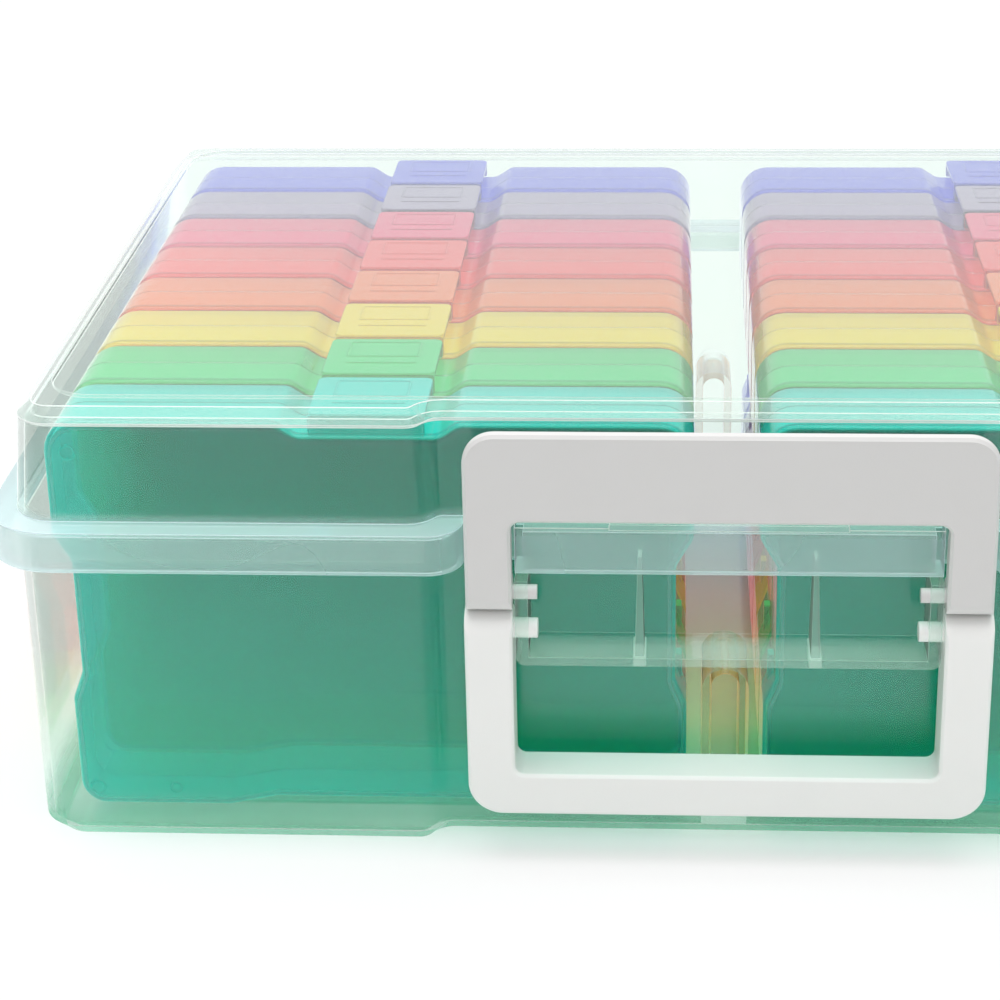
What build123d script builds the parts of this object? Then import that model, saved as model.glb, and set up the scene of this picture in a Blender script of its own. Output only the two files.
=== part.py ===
"""Carrying case for photographs: a clear tub and lid that hold two columns of coloured photo cases.

Units are millimetres. X runs along the case, Y from the front (-Y) to the hinge, Z up from the table.
"""
from build123d import *

import os
from math import atan2, degrees, radians, tan

# ---- photo cases ----------------------------------------------------------
case_length = 168.4
case_height = 114.0
case_thickness = 27.4
case_wall = 1.2
case_top_corner = 5.3
case_foot_corner = 4.1
cover_depth = 13.5  # the front half of a case, up to the edge where it opens
foot_set_in = 1.6  # of each end below the finger recess
side_waist = 4.6  # finger recess in each end of a case
side_waist_height = 33.0
waist_slope = 9.5
top_dip = 3.5  # recess that the tab bridges
top_dip_length = 36.5
top_dip_slope = 5.2
foot_dip = 2.8
foot_dip_length = 57.0
foot_dip_slope = 13.0
tongue_length = 16.0
tongue_reach = 5.0  # how far a tongue of the tray reaches into the cover
tongue_wall = 1.0
tongue_fit = 0.15
tongue_spread = 55.0
tab_length = 30.5
tab_rise = 2.2  # the tab's top above the case
tab_thickness = 1.4
tab_set_back = 1.0  # the tab's legs behind the front and in front of the back of a case
tab_gap = 0.3
catch_ridge = 1.0

# ---- layout ---------------------------------------------------------------
colours = ["teal", "green", "yellow", "orange", "coral", "pink", "grey", "blue"]
row_gap = 0.6
aisle = 17.0
side_room = 6.0
end_room = 0.6  # in front of the first row and behind the last, beside the lean of the lid's walls
seat_height = 4.8  # top of the tub's floor
lid_headroom = 1.2

# ---- tub ------------------------------------------------------------------
wall = 2.0
rim_height = 93.5
tub_corner = 12.0
tub_edge = 4.5  # bevel under the tub
foot_width = 8.5
foot_step = 2.8  # the floor's underside above the table
tower_reach = 5.5  # how far the front stands out on each side of the handle
recess_room = 7.0  # beside the handle
recess_slope = 58.0
tower_blend = 8.5
recess_blend = 2.5
lip_drop = 7.0
lip_wall = 1.5
lip_room = 3.0  # from the recess to the end of the lip
pilaster_width = 12.2
pilaster_height = 45.9
pilaster_reach = 22.0
pilaster_wall = 2.4

# ---- lid ------------------------------------------------------------------
lid_draft = 5.0
lid_wall = 1.8
lid_edge = 3.5
border_width = 8.6
border_height = 1.2
flange_reach = 7.0
flange_recess_reach = 2.6
flange_recess_room = 1.0  # beside the latch
flange_blend = 9.0
skirt_drop = 9.3  # below the underside of the flange
skirt_gap = 0.5
seat_gap = 0.2

# ---- handle bracket on the tub, catch bracket on the lid -------------------
bracket_half = 54.0
bracket_set_back = 1.7  # behind the front of the handle
bracket_foot_drop = 8.6  # below the handle's pivot
bracket_corner = 2.5
bracket_gap = 0.6  # under the lid's bracket and skirt
shelf_wall = 2.3
ear_wall = 3.3
gusset_spread = 22.4
gusset_foot = 2.5
gusset_tip = 1.0
gusset_height = 27.4
gusset_tip_reach = 6.5
catch_bracket_rise = 2.3  # above the flange
catch_bracket_wall = 2.0
catch_half = 30.0
catch_gap = 0.5  # behind the latch's plate
catch_set_out = 0.5  # in front of the lid's bracket
catch_depth = 2.4
catch_rise = 2.6

# ---- latch and handle -----------------------------------------------------
ring_front = 15.5  # front faces of latch and handle, before the recess wall
pin_fit = 0.08
pin_reach = 2.3  # beyond the bracket's ear
leg_gap = 0.7
latch_pivot_drop = 4.2  # below the top of the bracket
latch_pin = 1.9
latch_boss = 4.6
latch_inset = 0.6  # the latch's sides within the handle's
latch_top = 124.6
latch_plate = 3.0
latch_leg = 6.0
latch_corner = 8.0
hook_wall = 1.5
hook_reach = 2.6
hook_gap = 0.4
boss_gap = 0.4  # from the handle up to the latch's bosses
handle_pin = 2.6
handle_depth = 12.0
handle_half = 67.0
handle_bottom = 16.5
handle_bar = 12.0
handle_wall = 2.4
handle_corner = 9.0
inner_corner = 2.5
soft_edge = 0.8

# ---- hinges ---------------------------------------------------------------
hinge_spread = 95.0
knuckle_length = 16.0
hinge_ear = 4.0
hinge_gap = 0.3
hinge_pin = 2.0
hinge_fit = 0.08
hinge_boss = 3.6
hinge_set_out = 2.0  # axis behind the skirt
hinge_headroom = 0.8  # from the hinge's ears up to the skirt
hinge_arm = 2.6
snap_slot = 3.2

root = 0.4  # how far a rib or bracket is set into its wall

# ---- worked out -----------------------------------------------------------
rows = len(colours)
row_pitch = case_thickness + row_gap
column_x = (case_length + aisle) / 2
flange_under = rim_height + seat_gap
flange_top = flange_under + lid_wall
skirt_bottom = flange_under - skirt_drop
lid_inner_top = seat_height + case_height + tab_rise + lid_headroom
lid_panel_top = lid_inner_top + lid_wall
lid_top = lid_panel_top + border_height
lid_lean = (lid_inner_top - flange_under) * tan(radians(lid_draft))
cavity_half = case_length + aisle / 2 + side_room
cavity_depth = rows * row_pitch - row_gap + 2 * (lid_lean + end_room)
wall_half = cavity_half + wall
hinge_reach = flange_reach + hinge_set_out + hinge_boss
recess_y = (ring_front - 2 * wall - cavity_depth - hinge_reach) / 2  # outside of the recess wall
rear_y = recess_y + 2 * wall + cavity_depth
tower_y = recess_y - tower_reach
first_row_y = recess_y + wall + lid_lean + end_room
latch_half = handle_half - latch_inset
recess_half = handle_half + recess_room
lip_end = recess_half + lip_room
flange_recess_half = latch_half + flange_recess_room
rim_inset = lid_wall + skirt_gap
ring_front_y = recess_y - ring_front
leg_inner = bracket_half + leg_gap
pin_length = leg_gap + ear_wall + pin_reach
bracket_reach = ring_front - bracket_set_back
bracket_top = skirt_bottom - bracket_gap
latch_pivot_height = bracket_top - latch_pivot_drop
handle_top = latch_pivot_height - latch_boss - boss_gap
handle_pivot_height = handle_top - handle_depth / 2
bracket_foot = handle_pivot_height - bracket_foot_drop
catch_front = ring_front - latch_plate - catch_gap
catch_bracket_reach = catch_front - catch_set_out
catch_bracket_top = flange_top + catch_bracket_rise
catch_bracket_foot = skirt_bottom + bracket_gap
hook_bottom = catch_bracket_top + catch_rise + hook_gap
latch_pivot_y = ring_front_y + latch_boss
handle_pivot_y = ring_front_y + handle_depth / 2
grip_top = handle_bottom + handle_bar
hinge_y = rear_y + flange_reach + hinge_set_out
hinge_z = skirt_bottom - hinge_boss - hinge_headroom
arm_height = skirt_bottom + lip_drop - hinge_z


same_place = 0.01  # two coordinates nearer than this are one


def wall_plan(inset=0.0):
    """Plan of the walls of tub and lid where they meet, with the front set back behind the handle."""
    with BuildSketch() as plan:
        with Locations((0, (tower_y + rear_y) / 2)):
            RectangleRounded(2 * wall_half, rear_y - tower_y, tub_corner)
        with Locations((0, recess_y)):
            Trapezoid(
                2 * recess_half + 4 * tower_reach / tan(radians(recess_slope)),
                2 * tower_reach,
                recess_slope,
                align=(Align.CENTER, Align.MAX),
                mode=Mode.SUBTRACT,
            )
        fillet(plan.vertices().filter_by(lambda v: recess_corner(v, tower_y)), tower_blend)
        fillet(plan.vertices().filter_by(lambda v: recess_corner(v, recess_y)), recess_blend)
        if inset:
            offset(amount=-inset, kind=Kind.INTERSECTION)
    return plan.sketch


def recess_corner(vertex, y):
    """Whether a corner of the walls' plan is one of the recess's, at depth y."""
    return abs(vertex.Y - y) < same_place and abs(abs(vertex.X) - recess_half) < tower_reach


def floor_plan(inset):
    """Plan of the raised floor, set in from the walls."""
    with BuildSketch() as plan:
        with Locations((0, (recess_y + rear_y) / 2)):
            RectangleRounded(2 * (wall_half - inset), rear_y - recess_y - 2 * inset, tub_corner)
    return plan.sketch


def flange_plan(inset=0.0):
    """Plan of the outside of the lid's skirt."""
    front = tower_y - flange_reach
    back = rear_y + flange_reach
    dent = recess_y - flange_recess_reach
    with BuildSketch() as plan:
        with Locations((0, (front + back) / 2)):
            RectangleRounded(2 * (wall_half + flange_reach), back - front, tub_corner + flange_reach)
        with Locations((0, front)):
            Rectangle(2 * flange_recess_half, 2 * (dent - front), mode=Mode.SUBTRACT)
        mouth = plan.vertices().filter_by(
            lambda v: abs(abs(v.X) - flange_recess_half) < same_place and v.Y < front + same_place
        )
        fillet(mouth, flange_blend)
        if inset:
            offset(amount=-inset, kind=Kind.INTERSECTION)
    return plan.sketch


def case_outline():
    """A photo case from the front, standing on its long edge, with the point under its middle at 0, 0."""
    half = case_length / 2
    foot_end = half - foot_set_in
    waist = half - side_waist
    foot = foot_dip_length / 2
    top = top_dip_length / 2
    waist_low = (case_height - side_waist_height) / 2
    waist_high = (case_height + side_waist_height) / 2
    dip_floor = case_height - top_dip
    with BuildSketch() as outline:
        with BuildLine():
            Polyline(
                [(0, foot_dip), (foot, foot_dip), (foot + foot_dip_slope, 0), (foot_end, 0)]
                + [(foot_end, waist_low - waist_slope), (waist, waist_low)]
                + [(waist, waist_high), (half, waist_high + waist_slope), (half, case_height)]
                + [(top + top_dip_slope, case_height), (top, dip_floor), (0, dip_floor)]
            )
            mirror(about=Plane.YZ)
        make_face()
    return outline.sketch


def end_corners(outline, level):
    """The outermost corners of a case's outline, at its foot (level 0) or its top (level -1)."""
    corners = outline.vertices().group_by(Axis.Y)[level].sort_by(Axis.X)
    return [corners[0], corners[-1]]


def case_shell_plans():
    """Outside and pocket of a photo case, as seen from the front."""
    with BuildSketch() as outside:
        add(case_outline())
        chamfer(end_corners(outside, 0), case_foot_corner)
        chamfer(end_corners(outside, -1), case_top_corner)
    with BuildSketch() as pocket:
        add(outside.sketch)
        offset(amount=-case_wall, kind=Kind.INTERSECTION)
    return outside.sketch, pocket.sketch


def recess_gap():
    """The stretch of the front without rim ledge and lip."""
    with BuildSketch() as gap:
        with Locations((0, tower_y - flange_reach)):
            Rectangle(2 * lip_end, 2 * (tower_reach + flange_reach) + wall, align=(Align.CENTER, Align.CENTER))
    return gap.sketch


def degrees_of(rise, run):
    """Slope of a flank, in degrees from the horizontal."""
    return degrees(atan2(rise, run))


def facing_back(y):
    """A sketch plane seen from the front, with X to the right, Z up and extrusions running to the back."""
    return Plane(origin=(0, y, 0), x_dir=(1, 0, 0), z_dir=(0, -1, 0))


def along_x(x=0.0):
    """A sketch plane seen from the right end, with Y across, Z up and extrusions running along +X."""
    return Plane(origin=(x, 0, 0), x_dir=(0, 1, 0), z_dir=(1, 0, 0))


# ---- photo case: cover with its tab, and tray -------------------------------
case_outside, case_pocket = case_shell_plans()
dip_floor = case_height - top_dip
tab_top = case_height + tab_rise
tab_front = tab_set_back
tab_back = case_thickness - tab_set_back

with BuildPart() as cover_form:
    with BuildSketch(facing_back(0)):
        add(case_outside)
    extrude(amount=-cover_depth)
    with BuildSketch(facing_back(case_wall)):
        add(case_pocket)
    extrude(amount=-cover_depth, mode=Mode.SUBTRACT)
    with BuildSketch(along_x()):
        with Locations(((tab_front + tab_back) / 2, tab_top - tab_thickness / 2)):
            Rectangle(tab_back - tab_front, tab_thickness)
        with Locations((tab_front + tab_thickness / 2, (dip_floor - case_wall / 2 + tab_top) / 2)):
            Rectangle(tab_thickness, tab_top - dip_floor + case_wall / 2)
        with Locations((tab_back - tab_thickness / 2, (dip_floor + tab_gap + tab_top) / 2)):
            Rectangle(tab_thickness, tab_top - dip_floor - tab_gap)
    extrude(amount=tab_length / 2, both=True)

with BuildPart() as tray_form:
    with BuildSketch(facing_back(cover_depth)):
        add(case_outside)
    extrude(amount=cover_depth - case_thickness)
    with BuildSketch(facing_back(cover_depth)):
        add(case_pocket)
    extrude(amount=cover_depth + case_wall - case_thickness, mode=Mode.SUBTRACT)
    for side in (-1, 1):
        with BuildSketch(along_x(side * tongue_spread)):
            with Locations((cover_depth + case_wall, case_wall + tongue_wall / 2)):
                Rectangle(2 * case_wall, tongue_wall)
            with Locations((cover_depth - tongue_reach / 2, case_wall + (tongue_fit + tongue_wall) / 2)):
                Rectangle(tongue_reach, tongue_wall - tongue_fit)
        extrude(amount=tongue_length / 2, both=True)
    with BuildSketch(along_x()):
        with Locations((tab_back - tab_thickness - tab_gap - catch_ridge / 2, dip_floor + catch_ridge / 2)):
            Rectangle(catch_ridge, catch_ridge)
    extrude(amount=tab_length / 3, both=True)

# ---- tub --------------------------------------------------------------------
arch_radius = pilaster_width / 2
arch_middle = pilaster_height - arch_radius

with BuildPart() as tub_cavity:
    with BuildSketch(Plane.XY.offset(rim_height)):
        add(wall_plan(wall))
    extrude(amount=wall - rim_height)
    chamfer(tub_cavity.faces().sort_by(Axis.Z)[0].edges(), tub_edge - wall)

with BuildPart() as gusset:
    with BuildSketch(facing_back(recess_y - bracket_reach)):
        with Locations((0, bracket_foot)):
            Trapezoid(
                gusset_foot,
                gusset_height,
                degrees_of(gusset_height, (gusset_foot - gusset_tip) / 2),
                align=(Align.CENTER, Align.MIN),
            )
    extrude(amount=-bracket_reach - wall + root)
    with BuildSketch(along_x()):
        with BuildLine():
            Polyline(
                (recess_y + wall, bracket_foot),
                (recess_y - bracket_reach + ear_wall / 3, bracket_foot),
                (recess_y - bracket_reach + ear_wall / 3, bracket_foot + shelf_wall),
                (recess_y - gusset_tip_reach, bracket_foot + gusset_height),
                (recess_y + wall, bracket_foot + gusset_height),
                close=True,
            )
        make_face()
    extrude(amount=gusset_foot, both=True, mode=Mode.INTERSECT)

with BuildPart() as tub_outside:
    with BuildSketch(Plane.XY.offset(rim_height)):
        add(wall_plan())
    extrude(amount=-rim_height)
    chamfer(tub_outside.faces().sort_by(Axis.Z)[0].edges(), tub_edge)

with BuildPart() as pilasters:
    # a hollow rib with a round top inside the front wall, and its mirror image inside the rear wall
    with BuildSketch(facing_back(recess_y + wall - root)):
        with Locations((0, seat_height + arch_middle)):
            Circle(arch_radius)
        Rectangle(pilaster_width, seat_height + arch_middle, align=(Align.CENTER, Align.MIN))
    extrude(amount=-pilaster_reach)
    with BuildSketch(facing_back(recess_y + 2 * wall)):
        with Locations((0, seat_height + arch_middle)):
            Circle(arch_radius - pilaster_wall)
        with Locations((0, seat_height)):
            Rectangle(pilaster_width - 2 * pilaster_wall, arch_middle, align=(Align.CENTER, Align.MIN))
    extrude(amount=-pilaster_reach, mode=Mode.SUBTRACT)
    mirror(about=facing_back((recess_y + rear_y) / 2))
    add(tub_outside.part, mode=Mode.INTERSECT)

with BuildPart() as tub:
    add(tub_outside.part)
    add(tub_cavity.part, mode=Mode.SUBTRACT)
    add(pilasters.part)
    # raised floor, which leaves a foot ring round it
    with BuildSketch():
        add(floor_plan(tub_edge + foot_width))
    extrude(amount=seat_height)
    with BuildSketch():
        add(floor_plan(tub_edge + foot_width + wall))
    extrude(amount=foot_step, mode=Mode.SUBTRACT)
    # rim ledge on all sides but the recess, and the lip that hangs from it
    with BuildSketch(Plane.XY.offset(rim_height)):
        add(flange_plan(rim_inset))
        add(wall_plan(wall / 2), mode=Mode.SUBTRACT)
        add(recess_gap(), mode=Mode.SUBTRACT)
    extrude(amount=-lip_wall)
    with BuildSketch(Plane.XY.offset(rim_height)):
        add(flange_plan(rim_inset))
        add(flange_plan(rim_inset + lip_wall), mode=Mode.SUBTRACT)
        add(recess_gap(), mode=Mode.SUBTRACT)
    extrude(amount=-lip_drop)
    # handle bracket: a shelf with an ear at each end, bored for the pins
    with BuildSketch(facing_back(recess_y - bracket_reach)) as bracket:
        with Locations((0, bracket_foot)):
            Rectangle(2 * bracket_half, bracket_top - bracket_foot, align=(Align.CENTER, Align.MIN))
        fillet(bracket.vertices().group_by(Axis.Y)[0], bracket_corner)
        with Locations((0, bracket_foot + shelf_wall)):
            Rectangle(
                2 * (bracket_half - ear_wall),
                bracket_top - bracket_foot,
                align=(Align.CENTER, Align.MIN),
                mode=Mode.SUBTRACT,
            )
    extrude(amount=-bracket_reach - wall + root)
    with Locations((-gusset_spread, 0, 0), (gusset_spread, 0, 0)):
        add(gusset.part)
    for side in (-1, 1):
        with BuildSketch(along_x(side * bracket_half)):
            with Locations((latch_pivot_y, latch_pivot_height)):
                Circle(latch_pin + pin_fit)
            with Locations((handle_pivot_y, handle_pivot_height)):
                Circle(handle_pin + pin_fit)
        extrude(amount=-side * ear_wall, mode=Mode.SUBTRACT)
    # hinge ears behind the rear wall, with a pin across each pair
    for middle in (-hinge_spread, hinge_spread):
        for side in (-1, 1):
            with BuildSketch(along_x(middle + side * (knuckle_length / 2 + hinge_gap))):
                with BuildLine():
                    Polyline(
                        (rear_y - wall / 2, hinge_z + hinge_boss),
                        (hinge_y, hinge_z + hinge_boss),
                        (hinge_y, hinge_z - hinge_boss),
                        (rear_y - wall / 2, hinge_z - 3 * hinge_boss),
                        close=True,
                    )
                make_face()
                with Locations((hinge_y, hinge_z)):
                    Circle(hinge_boss)
            extrude(amount=side * hinge_ear)
        with BuildSketch(along_x(middle)):
            with Locations((hinge_y, hinge_z)):
                Circle(hinge_pin)
        extrude(amount=knuckle_length / 2 + hinge_gap, both=True)

# ---- lid --------------------------------------------------------------------
with BuildPart() as lid_cavity:
    with BuildSketch(Plane.XY.offset(flange_under)):
        add(wall_plan(lid_wall))
    extrude(amount=lid_inner_top - flange_under, taper=lid_draft)
    chamfer(lid_cavity.faces().sort_by(Axis.Z)[-1].edges(), lid_edge - lid_wall)

with BuildPart() as lid:
    with BuildSketch(Plane.XY.offset(flange_under)):
        add(wall_plan())
    extrude(amount=lid_top - flange_under, taper=lid_draft)
    chamfer(lid.faces().sort_by(Axis.Z)[-1].edges(), lid_edge)
    with BuildSketch(Plane.XY.offset(lid_panel_top)):
        add(floor_plan(border_width))
    extrude(amount=border_height, mode=Mode.SUBTRACT)
    with BuildSketch(Plane.XY.offset(flange_under)):
        add(flange_plan())
    extrude(amount=lid_wall)
    with BuildSketch(Plane.XY.offset(skirt_bottom)):
        add(flange_plan())
        add(flange_plan(lid_wall), mode=Mode.SUBTRACT)
    extrude(amount=skirt_drop)
    # catch bracket: a hollow shelf above the tub's bracket, open below, with a rib for the latch
    with BuildSketch(facing_back(recess_y - catch_bracket_reach)):
        with Locations((0, catch_bracket_foot)):
            Rectangle(
                2 * bracket_half, catch_bracket_top - catch_bracket_foot, align=(Align.CENTER, Align.MIN)
            )
    extrude(amount=flange_recess_reach - lid_wall - catch_bracket_reach)
    with BuildSketch(facing_back(recess_y - catch_bracket_reach)):
        with Locations((0, flange_under)):
            Rectangle(2 * bracket_half, catch_bracket_top - flange_under, align=(Align.CENTER, Align.MIN))
    extrude(amount=-catch_bracket_reach - lid_wall + root)
    with BuildSketch(facing_back(recess_y - catch_bracket_reach + catch_bracket_wall)):
        with Locations((0, skirt_bottom)):
            Rectangle(
                2 * (bracket_half - catch_bracket_wall),
                catch_bracket_top - catch_bracket_wall - skirt_bottom,
                align=(Align.CENTER, Align.MIN),
            )
    extrude(amount=catch_bracket_wall - catch_bracket_reach + seat_gap, mode=Mode.SUBTRACT)
    with BuildSketch(facing_back(recess_y - catch_front)):
        with Locations((0, catch_bracket_top - root)):
            Rectangle(2 * catch_half, catch_rise + root, align=(Align.CENTER, Align.MIN))
    extrude(amount=-catch_depth)
    add(lid_cavity.part, mode=Mode.SUBTRACT)
    # hinge knuckles, each on an arm down from the skirt and slotted to snap over its pin
    for middle in (-hinge_spread, hinge_spread):
        with BuildSketch(along_x(middle)):
            with Locations((hinge_y - hinge_set_out - lid_wall / 2, hinge_z)):
                Rectangle(hinge_arm + hinge_set_out, arm_height, align=(Align.MIN, Align.MIN))
            with Locations((hinge_y, hinge_z)):
                Circle(hinge_boss)
                Circle(hinge_pin + hinge_fit, mode=Mode.SUBTRACT)
                Rectangle(snap_slot, 2 * hinge_boss, align=(Align.CENTER, Align.MAX), mode=Mode.SUBTRACT)
        extrude(amount=knuckle_length / 2, both=True)

# ---- latch ------------------------------------------------------------------
with BuildPart() as latch:
    with BuildSketch(facing_back(ring_front_y)) as latch_front:
        with Locations((0, latch_pivot_height - latch_boss)):
            Rectangle(2 * latch_half, latch_top - latch_pivot_height + latch_boss, align=(Align.CENTER, Align.MIN))
        fillet(latch_front.vertices().group_by(Axis.Y)[-1], latch_corner)
        with Locations((0, hook_bottom)):
            Rectangle(2 * leg_inner, latch_top, align=(Align.CENTER, Align.MAX), mode=Mode.SUBTRACT)
        fillet(latch_front.vertices().filter_by(lambda v: abs(v.Y - hook_bottom) < same_place), inner_corner)
    extrude(amount=-2 * latch_boss)
    chamfer(latch.faces().sort_by(Axis.Y)[0].edges(), soft_edge)
    with BuildSketch(along_x()):
        with BuildLine():
            Polyline(
                (ring_front_y, latch_pivot_height),
                (ring_front_y, latch_top),
                (ring_front_y + latch_plate, latch_top),
                (ring_front_y + latch_plate, hook_bottom),
                (ring_front_y + latch_leg, hook_bottom - latch_leg),
                (ring_front_y + latch_leg, latch_pivot_height),
                close=True,
            )
        make_face()
        with Locations((latch_pivot_y, latch_pivot_height)):
            Circle(latch_boss)
    extrude(amount=latch_half, both=True, mode=Mode.INTERSECT)
    for side in (-1, 1):
        with BuildSketch(along_x(side * leg_inner)):
            with Locations((latch_pivot_y, latch_pivot_height)):
                Circle(latch_pin)
        extrude(amount=-side * pin_length)
    with BuildSketch(facing_back(ring_front_y + latch_plate)):
        with Locations((0, hook_bottom)):
            Rectangle(2 * catch_half, hook_wall, align=(Align.CENTER, Align.MIN))
    extrude(amount=-hook_reach)

# ---- carrying handle ---------------------------------------------------------
with BuildPart() as carry_handle:
    with BuildSketch(facing_back(ring_front_y)) as handle_front:
        with Locations((0, handle_bottom)):
            Rectangle(2 * handle_half, handle_top - handle_bottom, align=(Align.CENTER, Align.MIN))
        fillet(handle_front.vertices().group_by(Axis.Y)[0], handle_corner)
        with Locations((0, grip_top)):
            Rectangle(2 * leg_inner, handle_top, align=(Align.CENTER, Align.MIN), mode=Mode.SUBTRACT)
        fillet(handle_front.vertices().filter_by(lambda v: abs(v.Y - grip_top) < same_place), inner_corner)
    extrude(amount=-handle_depth)
    chamfer(carry_handle.faces().sort_by(Axis.Y)[0].edges(), soft_edge)
    with BuildSketch(along_x()):
        with Locations((handle_pivot_y, handle_pivot_height)):
            Circle(handle_depth / 2)
            Rectangle(handle_depth, handle_top, align=(Align.CENTER, Align.MAX))
    extrude(amount=handle_half, both=True, mode=Mode.INTERSECT)
    # the back is hollow up to the solid ends that hold the pins
    with BuildSketch(facing_back(ring_front_y + handle_wall)):
        add(handle_front.sketch_local)
        offset(amount=-handle_wall, kind=Kind.INTERSECTION)
        with Locations((0, handle_pivot_height - handle_depth / 2 - handle_wall)):
            Rectangle(2 * handle_half, handle_depth + handle_top, align=(Align.CENTER, Align.MIN), mode=Mode.SUBTRACT)
    extrude(amount=-handle_depth, mode=Mode.SUBTRACT)
    for side in (-1, 1):
        with BuildSketch(along_x(side * leg_inner)):
            with Locations((handle_pivot_y, handle_pivot_height)):
                Circle(handle_pin)
        extrude(amount=-side * pin_length)

# ---- labels and files ---------------------------------------------------------
os.makedirs("parts", exist_ok=True)

tub.part.label = "tub"
export_step(tub.part, "parts/tub.step")
lid.part.label = "lid"
export_step(lid.part, "parts/lid.step")
latch.part.label = "latch"
export_step(latch.part, "parts/latch.step")
carry_handle.part.label = "carry_handle"
export_step(carry_handle.part, "parts/carry_handle.step")

for row, colour in enumerate(colours):
    for side, x in (("left", -column_x), ("right", column_x)):
        for half, form in (("cover", cover_form), ("tray", tray_form)):
            with BuildPart() as case_half:
                with Locations((x, first_row_y + row * row_pitch, seat_height)):
                    add(form.part)
            name = f"{colour}_{side}_{half}"
            case_half.part.label = name
            export_step(case_half.part, f"parts/{name}.step")
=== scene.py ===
"""Looks of the photo keeper case: clear tub and lid, coloured photo cases, white latch and handle.

Lengths in the modelling code are millimetres, in the frame of the CAD model, and become metres in
the meshes.
"""

from math import cos, pi, radians, sin, tan

import bmesh
import bpy
from mathutils import Matrix, Vector


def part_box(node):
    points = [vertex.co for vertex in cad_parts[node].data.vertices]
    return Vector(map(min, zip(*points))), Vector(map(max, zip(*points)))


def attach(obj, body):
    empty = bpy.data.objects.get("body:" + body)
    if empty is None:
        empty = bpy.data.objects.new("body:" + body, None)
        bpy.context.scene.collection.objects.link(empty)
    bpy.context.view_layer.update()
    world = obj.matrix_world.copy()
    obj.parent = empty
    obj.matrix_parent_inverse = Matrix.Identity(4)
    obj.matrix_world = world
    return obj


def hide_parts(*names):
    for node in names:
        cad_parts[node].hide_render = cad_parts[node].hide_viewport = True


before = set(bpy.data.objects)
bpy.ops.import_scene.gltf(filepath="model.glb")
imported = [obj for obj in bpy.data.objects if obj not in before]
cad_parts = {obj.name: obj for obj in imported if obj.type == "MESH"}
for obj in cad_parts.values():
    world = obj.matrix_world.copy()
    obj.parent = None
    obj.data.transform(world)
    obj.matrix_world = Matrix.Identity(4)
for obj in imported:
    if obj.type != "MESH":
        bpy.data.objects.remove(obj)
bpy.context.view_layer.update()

MM = 0.001
COLOURS = ["teal", "green", "yellow", "orange", "coral", "pink", "grey", "blue"]
SIDES = ["left", "right"]

# ---- photo cases, as moulded -------------------------------------------------
CASE_WALL = 1.2
TOP_CORNER = 9.0
FOOT_CORNER = 7.0
CASE_EDGE = 2.2  # rounding where the broad faces meet the sides
COVER_DEPTH = 13.5
FOOT_SET_IN = 1.6
WAIST = 4.6
WAIST_LOW = 40.5
WAIST_HIGH = 73.5
WAIST_SLOPE = 8.0
WAIST_BLEND = 5.0
TOP_DIP = 3.5
TOP_DIP_HALF = 18.25
TOP_DIP_SLOPE = 5.2
FOOT_DIP = 2.8
FOOT_DIP_HALF = 28.5
FOOT_DIP_SLOPE = 13.0
DIP_BLEND = 6.0
SEAM = 0.35  # rounding of the two rims where cover and tray meet
EDGE_BANDS = (0, 3, 5, 6, 7)  # of a half's sections: both ends of its rounded edge, and its rim

# ---- tab over the top of a photo case ----------------------------------------
TAB_LENGTH = 30.5
TAB_THICKNESS = 1.4
TAB_SET_BACK = 1.0
TAB_CORNER = 2.0
TAB_EDGE = 0.45
WINDOW_LENGTH = 20.0
WINDOW_DEPTH = 11.0
WINDOW_FROM_BACK = 2.6
SLOT_FROM_FRONT = 7.6


def srgb(red, green, blue):
    """Linear colour of an sRGB triple from 0 to 255."""
    linear = []
    for value in (red, green, blue):
        part = value / 255
        linear.append(part / 12.92 if part <= 0.04045 else ((part + 0.055) / 1.055) ** 2.4)
    return (*linear, 1.0)


# ==== outlines and shells =======================================================
def rounded_outline(corners, steps=6):
    """Closed outline through (x, z, radius) corners, with each corner turned into an arc."""
    outline = []
    for index, (x, z, radius) in enumerate(corners):
        here = Vector((x, z))
        before = Vector(corners[index - 1][:2]) - here
        after = Vector(corners[(index + 1) % len(corners)][:2]) - here
        before.normalize()
        after.normalize()
        half_angle = before.angle(after) / 2
        reach = radius / tan(half_angle)
        middle = here + (before + after).normalized() * (radius / sin(half_angle))
        start = here + before * reach - middle
        end = here + after * reach - middle
        sweep = start.angle_signed(end)
        for step in range(steps + 1):
            turned = start.copy()
            turned.rotate(Matrix.Rotation(-sweep * step / steps, 2))
            outline.append(middle + turned)
    return outline


def inset(outline, distance):
    """The outline moved inwards, point by point, by a distance. The outline runs anticlockwise."""
    moved = []
    count = len(outline)
    for index, point in enumerate(outline):
        into = (point - outline[index - 1]).normalized()
        out = (outline[(index + 1) % count] - point).normalized()
        first = Vector((-into.y, into.x))
        second = Vector((-out.y, out.x))
        bisector = (first + second).normalized()
        moved.append(point + bisector * (distance / bisector.dot(first)))
    return moved


def swept(mesh, outline, sections, place, edges=()):
    """Adds a closed solid to a bmesh: the outline at each (inset, height) section, joined and capped.

    edges numbers the bands between sections that take the piece's second material.
    """
    rings = []
    for distance, height in sections:
        ring = [mesh.verts.new(place(point.x, point.y, height)) for point in inset(outline, distance)]
        rings.append(ring)
    count = len(outline)
    for band, (lower, upper) in enumerate(zip(rings, rings[1:])):
        for index in range(count):
            after = (index + 1) % count
            face = mesh.faces.new((lower[index], lower[after], upper[after], upper[index]))
            face.material_index = int(band in edges)
    mesh.faces.new(rings[0][::-1])
    mesh.faces.new(rings[-1])


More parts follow.
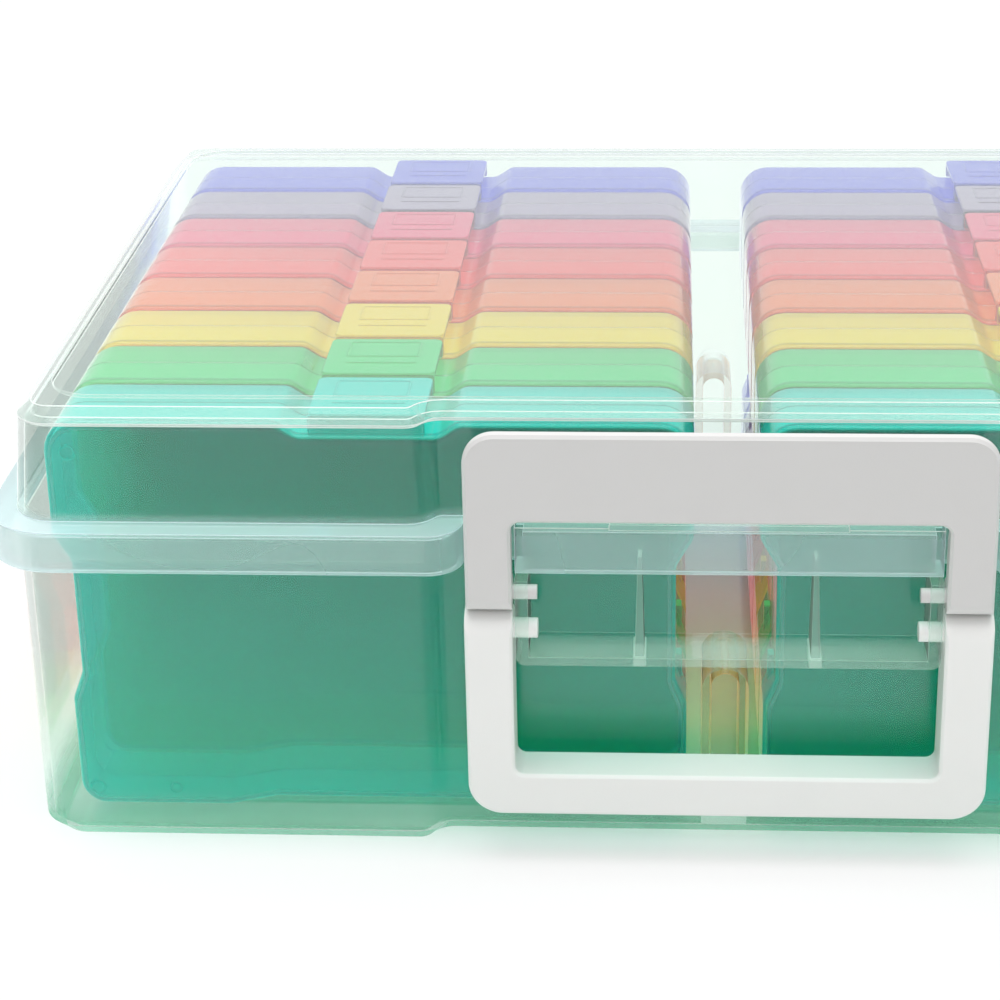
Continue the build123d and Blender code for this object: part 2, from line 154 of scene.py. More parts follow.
def arc_sections(from_inset, from_height, to_inset, to_height, steps=4, hollow=False):
    """Sections of a quarter round between two (inset, height) points, without its first point."""
    sections = []
    for step in range(1, steps + 1):
        angle = pi / 2 * step / steps
        across, along = (1 - cos(angle), sin(angle)) if hollow else (sin(angle), 1 - cos(angle))
        distance = from_inset + (to_inset - from_inset) * across
        sections.append((distance, from_height + (to_height - from_height) * along))
    return sections


def finish_mesh(mesh, name, sharp_angle=32.0):
    """A Blender mesh of a bmesh, smooth but for its sharp edges."""
    bmesh.ops.recalc_face_normals(mesh, faces=mesh.faces)
    data = bpy.data.meshes.new(name)
    mesh.to_mesh(data)
    mesh.free()
    data.shade_smooth()
    data.set_sharp_from_angle(angle=radians(sharp_angle))
    return data


def new_piece(data, name, body, slot, materials, *nodes):
    """A piece of the object that rides on a body and stands for CAD nodes."""
    piece = bpy.data.objects.new(name, data)
    bpy.context.scene.collection.objects.link(piece)
    for material in materials:
        data.materials.append(material)
    normals = piece.modifiers.new("even_faces", "WEIGHTED_NORMAL")
    normals.keep_sharp = True
    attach(piece, body)
    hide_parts(*nodes)
    return piece


# ==== materials ==================================================================
def new_material(name):
    """An empty node material, its nodes and a function that links two sockets."""
    material = bpy.data.materials.new(name)
    material.use_nodes = True
    tree = material.node_tree
    tree.nodes.clear()
    return material, tree.nodes, tree.links.new


def surface_noise(nodes, link, scale, detail=3.0):
    """Noise in the object's own space, in cycles per metre."""
    place = nodes.new("ShaderNodeTexCoord")
    noise = nodes.new("ShaderNodeTexNoise")
    noise.inputs["Scale"].default_value = scale
    noise.inputs["Detail"].default_value = detail
    link(place.outputs["Object"], noise.inputs["Vector"])
    return noise.outputs["Fac"]


def ranged(nodes, link, value, low, high, to_low, to_high):
    """A value mapped from one range to another."""
    mapping = nodes.new("ShaderNodeMapRange")
    mapping.inputs["From Min"].default_value = low
    mapping.inputs["From Max"].default_value = high
    mapping.inputs["To Min"].default_value = to_low
    mapping.inputs["To Max"].default_value = to_high
    link(value, mapping.inputs["Value"])
    return mapping.outputs["Result"]


def calculated(nodes, link, operation, *values):
    """A math node of some values, each a socket or a number."""
    node = nodes.new("ShaderNodeMath")
    node.operation = operation
    for socket, value in zip(node.inputs, values):
        if isinstance(value, (int, float)):
            socket.default_value = value
        else:
            link(value, socket)
    return node.outputs["Value"]


STEEPEST = 0.07  # least share of a square look at a surface, so that the way through it stays finite


def translucent_plastic(name, tint, film_colour, passed, haze, roughness, gloss, vary):
    """Thin moulded polypropylene: tinted see-through, with a milky film and a gloss that grow edge-on.

    haze is the film's share at one surface seen square on. passed is the colour of the light that
    crosses one surface, with which lamps and bounced light go on through the wall. vary builds the
    nodes that say how the film's colour and its thickness change over the piece.
    """
    material, nodes, link = new_material(name)
    weight = nodes.new("ShaderNodeLayerWeight")
    weight.inputs["Blend"].default_value = 0.5
    facing = weight.outputs["Facing"]
    # the way through the wall grows with the angle, and the film with it
    square = calculated(nodes, link, "SUBTRACT", 1.0, facing)
    square = calculated(nodes, link, "MAXIMUM", square, STEEPEST)
    cloud = ranged(nodes, link, surface_noise(nodes, link, 22.0, 0.0), 0.2, 0.8, 0.85, 1.15)
    colour, thickness = vary(nodes, link, film_colour)
    depth = calculated(nodes, link, "MULTIPLY", cloud, thickness)
    way = calculated(nodes, link, "DIVIDE", depth, square)
    film = calculated(nodes, link, "SUBTRACT", 1.0, calculated(nodes, link, "POWER", 1.0 - haze, way))
    edge_on = calculated(nodes, link, "POWER", facing, 5.0)
    mirror = calculated(nodes, link, "MULTIPLY_ADD", edge_on, 0.9, gloss)

    bump = nodes.new("ShaderNodeBump")
    bump.inputs["Strength"].default_value = 0.05
    bump.inputs["Distance"].default_value = 0.0002
    link(surface_noise(nodes, link, 900.0, 0.0), bump.inputs["Height"])

    lit = nodes.new("ShaderNodeBsdfDiffuse")
    lit_from_behind = nodes.new("ShaderNodeBsdfTranslucent")
    link(colour, lit.inputs["Color"])
    link(colour, lit_from_behind.inputs["Color"])
    clear = nodes.new("ShaderNodeBsdfTransparent")
    clear.inputs["Color"].default_value = tint
    shine = nodes.new("ShaderNodeBsdfGlossy")
    shine.inputs["Color"].default_value = (1.0, 1.0, 1.0, 1.0)
    shine.inputs["Roughness"].default_value = roughness
    link(bump.outputs["Normal"], shine.inputs["Normal"])
    let_through = nodes.new("ShaderNodeBsdfTransparent")
    let_through.inputs["Color"].default_value = passed

    milky = mixed(nodes, link, 0.5, lit.outputs["BSDF"], lit_from_behind.outputs["BSDF"])
    wall = mixed(nodes, link, film, clear.outputs["BSDF"], milky)
    seen = mixed(nodes, link, mirror, wall, shine.outputs["BSDF"])
    path = nodes.new("ShaderNodeLightPath")
    bounced = mixed(nodes, link, path.outputs["Is Diffuse Ray"], seen, let_through.outputs["BSDF"])
    bounced = mixed(nodes, link, path.outputs["Is Glossy Ray"], bounced, let_through.outputs["BSDF"])
    surface = mixed(nodes, link, path.outputs["Is Shadow Ray"], bounced, let_through.outputs["BSDF"])
    output = nodes.new("ShaderNodeOutputMaterial")
    link(surface, output.inputs["Surface"])
    return material


def place_on_piece(nodes, link):
    """The x, y, z of a point of the piece in metres, and the size of its normal along y and z."""
    place = nodes.new("ShaderNodeTexCoord")
    parts = nodes.new("ShaderNodeSeparateXYZ")
    link(place.outputs["Object"], parts.inputs["Vector"])
    facing = nodes.new("ShaderNodeSeparateXYZ")
    link(place.outputs["Normal"], facing.inputs["Vector"])
    along_y = calculated(nodes, link, "ABSOLUTE", facing.outputs["Y"])
    along_z = calculated(nodes, link, "ABSOLUTE", facing.outputs["Z"])
    return parts.outputs["X"], parts.outputs["Y"], parts.outputs["Z"], along_y, along_z


def between(nodes, link, value, low, high, soft):
    """1 where a value lies between two limits and 0 outside, with a soft change."""
    rise = ranged(nodes, link, value, low - soft, low + soft, 0.0, 1.0)
    fall = ranged(nodes, link, value, high - soft, high + soft, 1.0, 0.0)
    return calculated(nodes, link, "MULTIPLY", rise, fall)


def colours_mixed(nodes, link, share, first, second):
    """A share of the second of two colours; the first may be a socket."""
    node = nodes.new("ShaderNodeMix")
    node.data_type = "RGBA"
    link(share, node.inputs["Factor"])
    if isinstance(first, tuple):
        node.inputs["A"].default_value = first
    else:
        link(first, node.inputs["A"])
    node.inputs["B"].default_value = second
    return node.outputs["Result"]


def darker(colour, share):
    """A share of a colour's light."""
    return tuple(channel * share for channel in colour[:3]) + (1.0,)


# where the films change, in metres from the origin, and how many times thicker they get there
# painted shade on the photo cases: the heights over which their broad faces darken towards the top, and
# the reach from the middle beyond which they stay lighter near the ends
PAINTED_SHADE_HEIGHTS = (0.025, 0.112)
PAINTED_LIGHT_ENDS = (0.150, 0.174)
# share of the colour left at the top of the broad faces, a painted shade
PAINTED_TOP_SHADE = 0.4
# how many times thicker the film on upward faces gets, painted light from above
TOP_PAINTED_LIGHT_FILM = 2.6
# painted light in the tub: the foot below this height, and the pilasters within the ranges below, take the
# cases' coloured light painted into their film
FOOT_TOP = (0.004, 0.016)
BRACKET_FRONT = (-0.1180, -0.1168)
BRACKET_END = (0.060, 0.064)
GUSSET = (0.0208, 0.0240)
PILASTER_DEPTHS = (0.1120, 0.1145)
PILASTER_HEIGHTS = (0.006, 0.0500)
PILASTER_SIDE = (0.0062, 0.0072)
SKIRT_TOP = (0.0955, 0.0975)
# slanted faces, with a normal along z between these, get a thicker, whiter film: a painted highlight on
# chamfers and roundings
SLOPES = (0.3, 0.93)  # size of the normal along z


def case_film_painted_light(nodes, link, colour):
    """The film of a photo case, with painted shade and painted light: its broad faces are darkened towards
    the top and left lighter at the foot and ends, and its upward faces get a thicker film that makes them
    render lighter.
    """
    x, _, z, along_y, along_z = place_on_piece(nodes, link)
    # painted shade: the broad faces darken towards the top, except near the ends
    broad = ranged(nodes, link, along_y, 0.8, 0.95, 0.0, 1.0)
    high = ranged(nodes, link, z, *PAINTED_SHADE_HEIGHTS, 0.0, 1.0)
    end = ranged(nodes, link, calculated(nodes, link, "ABSOLUTE", x), *PAINTED_LIGHT_ENDS, 0.0, 1.0)
    inland = calculated(nodes, link, "SUBTRACT", 1.0, end)
    painted_shade = calculated(nodes, link, "MULTIPLY", calculated(nodes, link, "MULTIPLY", broad, high), inland)
    shaded = colours_mixed(nodes, link, painted_shade, colour, darker(colour, PAINTED_TOP_SHADE))
    # painted light from above: upward faces get a thicker film, which renders them lighter
    return shaded, ranged(nodes, link, along_z, 0.7, 0.95, 1.0, TOP_PAINTED_LIGHT_FILM)


def tub_film_painted_light(nodes, link, colour):
    """The film of the tub, with painted light: the cases' coloured light is painted into its foot and
    pilasters, a whiter film on slopes is a painted highlight, and the film is milkier on the brackets and
    gussets.
    """
    x, y, z, _, along_z = place_on_piece(nodes, link)
    aside = calculated(nodes, link, "ABSOLUTE", x)
    foot = ranged(nodes, link, z, *FOOT_TOP, 1.0, 0.0)
    slope = between(nodes, link, along_z, *SLOPES, 0.05)
    ahead = ranged(nodes, link, y, *BRACKET_FRONT, 1.0, 0.0)
    middle = ranged(nodes, link, aside, *BRACKET_END, 1.0, 0.0)
    bracket = calculated(nodes, link, "MULTIPLY", ahead, middle)
    across = between(nodes, link, aside, *GUSSET, 0.0002)
    gusset = calculated(nodes, link, "MULTIPLY", ahead, across)
    inland = ranged(nodes, link, calculated(nodes, link, "ABSOLUTE", y), *PILASTER_DEPTHS, 1.0, 0.0)
    low = between(nodes, link, z, *PILASTER_HEIGHTS, 0.001)
    centre = ranged(nodes, link, aside, *PILASTER_SIDE, 1.0, 0.0)
    pilaster = calculated(nodes, link, "MULTIPLY", inland, low)
    pilaster = calculated(nodes, link, "MULTIPLY", pilaster, centre)
    # thicker film where light is painted: the foot and pilasters, and slopes as a painted highlight;
    # brackets and gussets are milkier
    thickness = calculated(nodes, link, "MULTIPLY_ADD", foot, 14.0, 1.0)
    thickness = calculated(nodes, link, "MULTIPLY_ADD", pilaster, 14.0, thickness)
    thickness = calculated(nodes, link, "MULTIPLY_ADD", slope, 2.0, thickness)
    thickness = calculated(nodes, link, "MULTIPLY_ADD", bracket, 6.0, thickness)
    thickness = calculated(nodes, link, "MULTIPLY_ADD", gusset, 20.0, thickness)
    # painted light: the cases' coloured light painted into the foot and the pilasters
    painted_foot_light = colours_mixed(nodes, link, foot, colour, FOOT_PAINTED_CASE_LIGHT)
    return colours_mixed(nodes, link, pilaster, painted_foot_light, PILASTER_PAINTED_CASE_LIGHT), thickness


def lid_film_and_highlight(nodes, link, colour):
    """The film of the lid: milkier on its skirt and on the catch bracket, and thicker and whiter on
    slopes, a painted highlight.
    """
    _, _, z, _, along_z = place_on_piece(nodes, link)
    skirt = ranged(nodes, link, z, *SKIRT_TOP, 1.0, 0.0)
    slope = between(nodes, link, along_z, *SLOPES, 0.05)
    thickness = calculated(nodes, link, "MULTIPLY_ADD", skirt, 15.0, 1.0)
    # painted highlight: a much thicker film on slanted faces
    thickness = calculated(nodes, link, "MULTIPLY_ADD", slope, 14.0, thickness)
    return colours_mixed(nodes, link, skirt, colour, SKIRT_FILM), thickness


def mixed(nodes, link, share, first, second):
    """Two shaders mixed by a share of the second, a number or a socket."""
    node = nodes.new("ShaderNodeMixShader")
    if isinstance(share, float):
        node.inputs["Fac"].default_value = share
    else:
        link(share, node.inputs["Fac"])
    link(first, node.inputs[1])
    link(second, node.inputs[2])
    return node.outputs["Shader"]


def satin_plastic(name, colour):
    """Opaque satin moulding with a fine grain."""
    material, nodes, link = new_material(name)
    skin = nodes.new("ShaderNodeBsdfPrincipled")
    mottle = nodes.new("ShaderNodeMix")
    mottle.data_type = "RGBA"
    mottle.inputs["A"].default_value = colour
    mottle.inputs["B"].default_value = tuple(channel * 0.97 for channel in colour[:3]) + (1.0,)
    link(surface_noise(nodes, link, 60.0), mottle.inputs["Factor"])
    link(mottle.outputs["Result"], skin.inputs["Base Color"])
    rough = ranged(nodes, link, surface_noise(nodes, link, 300.0), 0.3, 0.7, 0.38, 0.48)
    link(rough, skin.inputs["Roughness"])
    skin.inputs["IOR"].default_value = 1.48
    skin.inputs["Subsurface Weight"].default_value = 0.06
    skin.inputs["Subsurface Radius"].default_value = (0.004, 0.0035, 0.003)
    bump = nodes.new("ShaderNodeBump")
    bump.inputs["Strength"].default_value = 0.12
    bump.inputs["Distance"].default_value = 0.0002
    link(surface_noise(nodes, link, 2200.0, 4.0), bump.inputs["Height"])
    link(bump.outputs["Normal"], skin.inputs["Normal"])
    output = nodes.new("ShaderNodeOutputMaterial")
    link(skin.outputs["BSDF"], output.inputs["Surface"])
    return material


FOOT_HALF = 0.184  # metres from the middle to the end of the case's foot
FOOT_DEPTH = 0.117  # and to its front and back
FOOT_BLEND = 0.012
FLOOR_UNDER = 0.02  # brightness given to the table under the case
FLOOR_OPEN = 0.8  # and in the open


def floor_material():
    """White table that shows a faint shadow, and takes the case's colour beneath it."""
    material, nodes, link = new_material("table_white")
    matt = nodes.new("ShaderNodeBsdfDiffuse")
    matt.inputs["Color"].default_value = (0.92, 0.92, 0.92, 1.0)
    shine = nodes.new("ShaderNodeEmission")
    place = nodes.new("ShaderNodeTexCoord")
    parts = nodes.new("ShaderNodeSeparateXYZ")
    link(place.outputs["Object"], parts.inputs["Vector"])
    # how far outside the case's foot, in metres
    across = calculated(nodes, link, "ABSOLUTE", parts.outputs["X"])
    along = calculated(nodes, link, "ABSOLUTE", parts.outputs["Y"])
    aside = calculated(nodes, link, "SUBTRACT", across, FOOT_HALF)
    ahead = calculated(nodes, link, "SUBTRACT", along, FOOT_DEPTH)
    outside = calculated(nodes, link, "MAXIMUM", aside, ahead)
    open_floor = ranged(nodes, link, outside, -FOOT_BLEND, FOOT_BLEND, FLOOR_UNDER, FLOOR_OPEN)
    path = nodes.new("ShaderNodeLightPath")
    seen = calculated(nodes, link, "MULTIPLY", path.outputs["Is Camera Ray"], open_floor)
    both = nodes.new("ShaderNodeMixShader")
    link(seen, both.inputs["Fac"])
    link(matt.outputs["BSDF"], both.inputs[1])
    link(shine.outputs["Emission"], both.inputs[2])
    output = nodes.new("ShaderNodeOutputMaterial")
    link(both.outputs["Shader"], output.inputs["Surface"])
    return material


# each colour: the tint of what is seen through it, its milky film, and the light that crosses it
CASE_COLOURS = {
    "teal": (srgb(178, 242, 238), srgb(10, 232, 222), srgb(165, 240, 236)),
    "green": (srgb(190, 240, 205), srgb(60, 225, 140), srgb(180, 242, 200)),
    "yellow": (srgb(252, 240, 175), srgb(255, 230, 40), srgb(252, 240, 165)),
    "orange": (srgb(255, 214, 180), srgb(255, 130, 60), srgb(250, 208, 170)),
    "coral": (srgb(255, 190, 190), srgb(255, 70, 80), srgb(250, 180, 180)),
    "pink": (srgb(245, 190, 215), srgb(250, 50, 125), srgb(244, 178, 206)),
    "grey": (srgb(205, 198, 215), srgb(175, 155, 195), srgb(202, 192, 214)),
    "blue": (srgb(168, 174, 238), srgb(78, 88, 228), srgb(168, 174, 240)),
}
COVER_HAZE = 0.24
TRAY_HAZE = 0.13
CASE_EDGE_HAZE = 0.66
CASE_EDGE_SHADE = 0.6
CLEAR_HAZE = 0.018
# painted highlight: the bevelled edges of the tub and lid take a denser, near-white film
TUB_EDGE_HIGHLIGHT_HAZE = 0.4
LID_EDGE_HIGHLIGHT_HAZE = 0.7
TUB_FILM = srgb(214, 236, 227)
TUB_EDGE_HIGHLIGHT_FILM = srgb(212, 236, 226)
LID_FILM = srgb(224, 240, 234)
LID_EDGE_HIGHLIGHT_FILM = srgb(248, 253, 251)
# painted light: the cases' coloured light, painted into the tub's foot and pilasters
FOOT_PAINTED_CASE_LIGHT = srgb(92, 192, 156)
PILASTER_PAINTED_CASE_LIGHT = srgb(236, 158, 60)
SKIRT_FILM = srgb(224, 240, 248)
CLEAR_TINT = srgb(250, 254, 252)
CLEAR_PASSED = srgb(252, 254, 253)


def case_plastic(colour, part, haze):
    """The material of one half of a photo case, and that of its edges."""
    tint, film, passed = CASE_COLOURS[colour]
    name = f"{colour}_{part}"
    edge = darker(film, CASE_EDGE_SHADE)
    return (
        translucent_plastic(f"{name}_plastic", tint, film, passed, haze, 0.15, 0.02, case_film_painted_light),
        translucent_plastic(f"{name}_edge", tint, edge, passed, CASE_EDGE_HAZE, 0.1, 0.06, case_film_painted_light),
    )


def clear_plastic(name, film, haze, gloss, vary):
    """The colourless plastic of the tub or lid."""
    return translucent_plastic(name, CLEAR_TINT, film, CLEAR_PASSED, haze, 0.08, gloss, vary)


cover_plastic = {colour: case_plastic(colour, "cover", COVER_HAZE) for colour in COLOURS}
tray_plastic = {colour: case_plastic(colour, "tray", TRAY_HAZE) for colour in COLOURS}
tub_plastic = clear_plastic("tub_plastic", TUB_FILM, CLEAR_HAZE, 0.02, tub_film_painted_light)
tub_edge_highlight = clear_plastic("tub_edge_highlight", TUB_EDGE_HIGHLIGHT_FILM, TUB_EDGE_HIGHLIGHT_HAZE, 0.08, tub_film_painted_light)
lid_plastic = clear_plastic("lid_plastic", LID_FILM, CLEAR_HAZE, 0.02, lid_film_and_highlight)
lid_edge_highlight = clear_plastic("lid_edge_highlight", LID_EDGE_HIGHLIGHT_FILM, LID_EDGE_HIGHLIGHT_HAZE, 0.1, lid_film_and_highlight)
white_plastic = satin_plastic("white_plastic", srgb(234, 234, 232))
# painted shade: the latch is the same white plastic, given a darker copy of it
shaded_latch_plastic = satin_plastic("shaded_latch_plastic", srgb(206, 205, 204))


# ==== photo cases ==================================================================
def case_outline(length, height):
    """A photo case seen from the front, anticlockwise, with its lowest line at 0."""
    half = length / 2
    right = [
        (FOOT_DIP_HALF, FOOT_DIP, DIP_BLEND),
        (FOOT_DIP_HALF + FOOT_DIP_SLOPE, 0, DIP_BLEND),
        (half - FOOT_SET_IN, 0, FOOT_CORNER),
        (half - FOOT_SET_IN, WAIST_LOW - WAIST_SLOPE, WAIST_BLEND),
        (half - WAIST, WAIST_LOW, WAIST_BLEND),
        (half - WAIST, WAIST_HIGH, WAIST_BLEND),
        (half, WAIST_HIGH + WAIST_SLOPE, WAIST_BLEND),
        (half, height, TOP_CORNER),
        (TOP_DIP_HALF + TOP_DIP_SLOPE, height, DIP_BLEND * 0.8),
        (TOP_DIP_HALF, height - TOP_DIP, DIP_BLEND * 0.8),
    ]
    left = [(-x, z, radius) for x, z, radius in reversed(right)]
    return rounded_outline(right + left)


def rectangle(length, depth, corner):
    """A rounded rectangle about the origin, anticlockwise."""
    return rounded_outline(
        [
            (length / 2, -depth / 2, corner),
            (length / 2, depth / 2, corner),
            (-length / 2, depth / 2, corner),
            (-length / 2, -depth / 2, corner),
        ],
        steps=4,
    )


def half_shell(mesh, outline, closed_at, open_at, place):
    """A photo case's cover or tray: a broad face, rounded edges and walls up to the seam."""
    inwards = 1 if open_at > closed_at else -1
    sections = [(CASE_EDGE, closed_at)]
    sections += arc_sections(CASE_EDGE, closed_at, 0, closed_at + inwards * CASE_EDGE)
    sections += [(0, open_at - inwards * SEAM), (SEAM, open_at), (CASE_WALL - SEAM / 2, open_at)]
    inner_edge = closed_at + inwards * CASE_EDGE
    inner_face = closed_at + inwards * CASE_WALL
    sections += [(CASE_WALL, open_at - inwards * SEAM), (CASE_WALL, inner_edge)]
    sections += arc_sections(CASE_WALL, inner_edge, CASE_EDGE, inner_face, hollow=True)
    swept(mesh, outline, sections, place, EDGE_BANDS)


def slab(mesh, outline, low, high, edge, place):
    """A plate with rounded edges."""
    sections = [(edge, low)] + arc_sections(edge, low, 0, low + edge, 3)
    sections += [(0, high - edge)] + arc_sections(0, high - edge, edge, high, 3, hollow=True)
    swept(mesh, outline, sections, place)


def ring(mesh, outline, width, low, high, place):
    """A raised frame with a soft top."""
    shoulder = low + (high - low) * 0.8
    sections = [(0, low), (width * 0.25, shoulder), (width * 0.5, high)]
    sections += [(width * 0.75, shoulder), (width, low)]
    rings = []
    for distance, height in sections:
        rings.append([mesh.verts.new(place(p.x, p.y, height)) for p in inset(outline, distance)])
    count = len(outline)
    for lower, upper in zip(rings, rings[1:] + rings[:1]):
        for index in range(count):
            after = (index + 1) % count
            mesh.faces.new((lower[index], lower[after], upper[after], upper[index]))


def circle(radius, steps=20):
    """A circle about the origin, anticlockwise."""
    angles = [2 * pi * step / steps for step in range(steps)]
    return [Vector((radius * cos(angle), radius * sin(angle))) for angle in angles]


def make_cover(name, outline, left, back, floor, height, thickness, x_middle):
    """The front half of a photo case with its tab, round marks and pry lug."""
    mesh = bmesh.new()

    def place(x, z, y):
        return Vector((x_middle + x, left + y, floor + z)) * MM

    half_shell(mesh, outline, 0, COVER_DEPTH, place)
    half = max(point.x for point in outline)
    # round marks of the mould on the broad face
    for mark_x, mark_z, radius in (
        (half - 6.5, height - 8.5, 2.3),
        (half - 6.5, 5.8, 2.3),
        (half - 28.0, 5.8, 1.8),
    ):
        for side in (-1, 1):

            def mark_place(x, z, y, mark_x=mark_x * side, mark_z=mark_z):
                return place(mark_x + x, mark_z + z, -y)

            ring(mesh, circle(radius), 0.7, -0.1, 0.16, mark_place)
    # pry lugs on the ends, by the seam
    for side in (-1, 1):

        def lug_place(x, z, y, side=side):
            return place(side * (half - WAIST + y), 38.8 + z, COVER_DEPTH - 2.6 + x)

        slab(mesh, rectangle(4.6, 10.0, 1.2), -0.6, 1.7, 0.5, lug_place)
    # the tab: a plate over the dip, with a leg at the front and one at the back
    tab_depth = thickness - 2 * TAB_SET_BACK
    tab_top = height + back

    def tab_place(x, y, z):
        return place(x, tab_top - TAB_THICKNESS + z, thickness / 2 + y)

    slab(mesh, rectangle(TAB_LENGTH, tab_depth, TAB_CORNER), 0, TAB_THICKNESS, TAB_EDGE, tab_place)

    def window_place(x, y, z):
        return tab_place(x, tab_depth / 2 - WINDOW_FROM_BACK - WINDOW_DEPTH / 2 + y, z)

    window = rectangle(WINDOW_LENGTH, WINDOW_DEPTH, 1.0)
    ring(mesh, window, 0.8, TAB_THICKNESS - 0.1, TAB_THICKNESS + 0.22, window_place)

    def slot_place(x, y, z):
        return tab_place(x, SLOT_FROM_FRONT - tab_depth / 2 + y, z)

    bar = rectangle(WINDOW_LENGTH - 1, 0.9, 0.4)
    slab(mesh, bar, TAB_THICKNESS - 0.1, TAB_THICKNESS + 0.25, 0.12, slot_place)
    front_leg = (TAB_SET_BACK, -CASE_WALL / 2)
    back_leg = (thickness - TAB_SET_BACK - TAB_THICKNESS, 0.3)
    for leg_front, leg_foot in (front_leg, back_leg):
        leg_height = tab_top - TAB_EDGE - (height - TOP_DIP) - leg_foot

        def leg_place(x, z, y, leg_front=leg_front, leg_foot=leg_foot, leg_height=leg_height):
            return place(x, height - TOP_DIP + leg_foot + leg_height / 2 + z, leg_front + y)

        slab(mesh, rectangle(TAB_LENGTH - 0.4, leg_height, 0.6), 0, TAB_THICKNESS, 0.3, leg_place)
    return finish_mesh(mesh, name)


def make_tray(name, outline, front, floor, thickness, x_middle):
    """The back half of a photo case."""
    mesh = bmesh.new()

    def place(x, z, y):
        return Vector((x_middle + x, front + y, floor + z)) * MM

    half_shell(mesh, outline, thickness, COVER_DEPTH, place)
    return finish_mesh(mesh, name)


def make_photo_cases():
    """All the photo cases, each a cover and a tray in the place of their CAD nodes."""
    for colour in COLOURS:
        for side in SIDES:
            cover = f"{colour}_{side}_cover"
            tray = f"{colour}_{side}_tray"
            low, cover_high = (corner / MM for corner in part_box(cover))
            _, tray_high = (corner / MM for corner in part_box(tray))
            height = tray_high.z - low.z
            thickness = tray_high.y - low.y
            middle = (low.x + cover_high.x) / 2
            outline = case_outline(cover_high.x - low.x, height)
            tab_rise = cover_high.z - tray_high.z
            data = make_cover(f"{cover}_shell", outline, low.y, tab_rise, low.z, height, thickness, middle)
            new_piece(data, f"{cover}_shell", "tub", f"{colour}_plastic", cover_plastic[colour], cover)
            data = make_tray(f"{tray}_shell", outline, low.y, low.z, thickness, middle)
            new_piece(data, f"{tray}_shell", "tub", f"{colour}_plastic", tray_plastic[colour], tray)


make_photo_cases()


# ==== tub, lid, latch and handle =====================================================
def dress_node(name, material, edge_material, edge, segments):
    """Gives a CAD node its material, and softens its edges, which take a material of their own; on the tub
    and lid that edge material is a denser, whiter film, a painted highlight.
    """
    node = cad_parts[name]
    node.data.materials.clear()
    node.data.materials.append(material)
    node.data.materials.append(edge_material)
    weld = node.modifiers.new("weld", "WELD")
    weld.merge_threshold = 1e-5
    flat = node.modifiers.new("whole_faces", "DECIMATE")
    flat.decimate_type = "DISSOLVE"
    flat.angle_limit = radians(0.5)
    soften = node.modifiers.new("soft_edges", "BEVEL")
    soften.width = edge * MM
    soften.segments = segments
    soften.material = 1
    soften.limit_method = "ANGLE"
    soften.angle_limit = radians(30)
    normals = node.modifiers.new("even_faces", "WEIGHTED_NORMAL")
    normals.keep_sharp = True
    node.data.shade_smooth()


dress_node("tub", tub_plastic, tub_edge_highlight, 0.8, 2)
dress_node("lid", lid_plastic, lid_edge_highlight, 0.8, 2)
dress_node("latch", shaded_latch_plastic, shaded_latch_plastic, 0.5, 3)
dress_node("carry_handle", white_plastic, white_plastic, 0.5, 3)


# ==== table, light and camera ==========================================================
def make_floor():
    """A large white table under the case."""
    mesh = bmesh.new()
    bmesh.ops.create_grid(mesh, x_segments=1, y_segments=1, size=12.0)
    data = bpy.data.meshes.new("table")
    mesh.to_mesh(data)
    mesh.free()
    table = bpy.data.objects.new("table", data)
    bpy.context.scene.collection.objects.link(table)
    data.materials.append(floor_material())


ROOM_FRONT = 0.45  # strength of the room in front of the case
ROOM_BACK = 1.15  # and above and behind it
ROOM_RISE = 0.75  # how much of that change goes with the height
ROOM_DEPTH = 0.65  # and how much with the way back
SOFTBOX_POWER = 12.0


def area_light(name, place, target, width, height, power):
    """A soft white lamp that faces a point."""
    lamp = bpy.data.lights.new(name, "AREA")
    lamp.shape = "RECTANGLE"
    lamp.size = width
    lamp.size_y = height
    lamp.energy = power
    holder = bpy.data.objects.new(name, lamp)
    holder.location = place
    holder.rotation_mode = "QUATERNION"
    holder.rotation_quaternion = (Vector(target) - Vector(place)).to_track_quat("-Z", "Y")
    bpy.context.scene.collection.objects.link(holder)


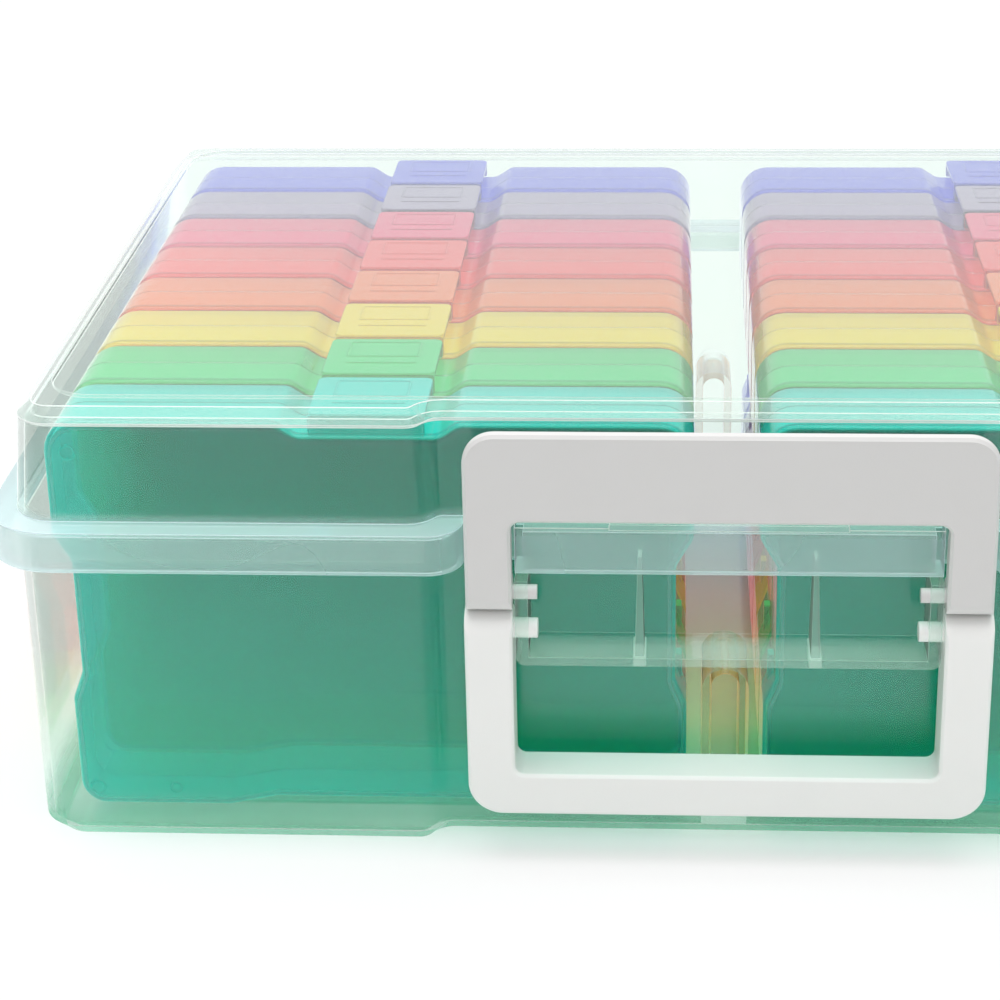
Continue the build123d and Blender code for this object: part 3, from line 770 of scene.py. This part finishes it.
def make_light():
    """A white room, bright above and behind the case and dim in front, with a soft lamp overhead."""
    world = bpy.data.worlds.new("white_room")
    world.use_nodes = True
    nodes, link = world.node_tree.nodes, world.node_tree.links.new
    background = nodes["Background"]
    background.inputs["Color"].default_value = (1.0, 1.0, 1.0, 1.0)
    place = nodes.new("ShaderNodeTexCoord")
    parts = nodes.new("ShaderNodeSeparateXYZ")
    link(place.outputs["Generated"], parts.inputs["Vector"])
    high = calculated(nodes, link, "MULTIPLY", parts.outputs["Z"], ROOM_RISE)
    behind = calculated(nodes, link, "MULTIPLY_ADD", parts.outputs["Y"], ROOM_DEPTH, high)
    room = ranged(nodes, link, behind, -0.5, 0.8, ROOM_FRONT, ROOM_BACK)
    path = nodes.new("ShaderNodeLightPath")
    strength = nodes.new("ShaderNodeMix")
    link(path.outputs["Is Camera Ray"], strength.inputs["Factor"])
    link(room, strength.inputs["A"])
    strength.inputs["B"].default_value = 1.0
    link(strength.outputs["Result"], background.inputs["Strength"])
    bpy.context.scene.world = world
    area_light("softbox_above", (0, -0.1, 1.4), (0, -0.1, 0), 1.2, 1.0, SOFTBOX_POWER)


CAMERA_PLACE = (-0.01460, -0.67193, 0.36095)
CAMERA_TURN = 0.05411  # radians about the upright
CAMERA_DOWN = 0.37118  # below level
CAMERA_ROLL = -0.01521
CAMERA_LENS = 86.654
CAMERA_SHIFT = (-0.05, -0.16)


def make_camera():
    """The viewpoint of the photograph: above the lid, left of the latch's middle, the frame shifted."""
    data = bpy.data.cameras.new("camera")
    data.sensor_width = 36.0
    data.lens = CAMERA_LENS
    data.shift_x, data.shift_y = CAMERA_SHIFT
    data.clip_start = 0.01
    data.clip_end = 50
    camera = bpy.data.objects.new("camera", data)
    turn = Matrix.Rotation(CAMERA_TURN, 4, "Z")
    tilt = Matrix.Rotation(pi / 2 - CAMERA_DOWN, 4, "X")
    roll = Matrix.Rotation(CAMERA_ROLL, 4, "Z")
    camera.matrix_world = Matrix.Translation(CAMERA_PLACE) @ turn @ tilt @ roll
    bpy.context.scene.collection.objects.link(camera)
    bpy.context.scene.camera = camera


make_floor()
make_light()
make_camera()

scene = bpy.context.scene
scene.view_settings.view_transform = "Standard"
scene.cycles.transparent_max_bounces = 96
scene.cycles.max_bounces = 6
scene.cycles.diffuse_bounces = 3
scene.cycles.transmission_bounces = 3
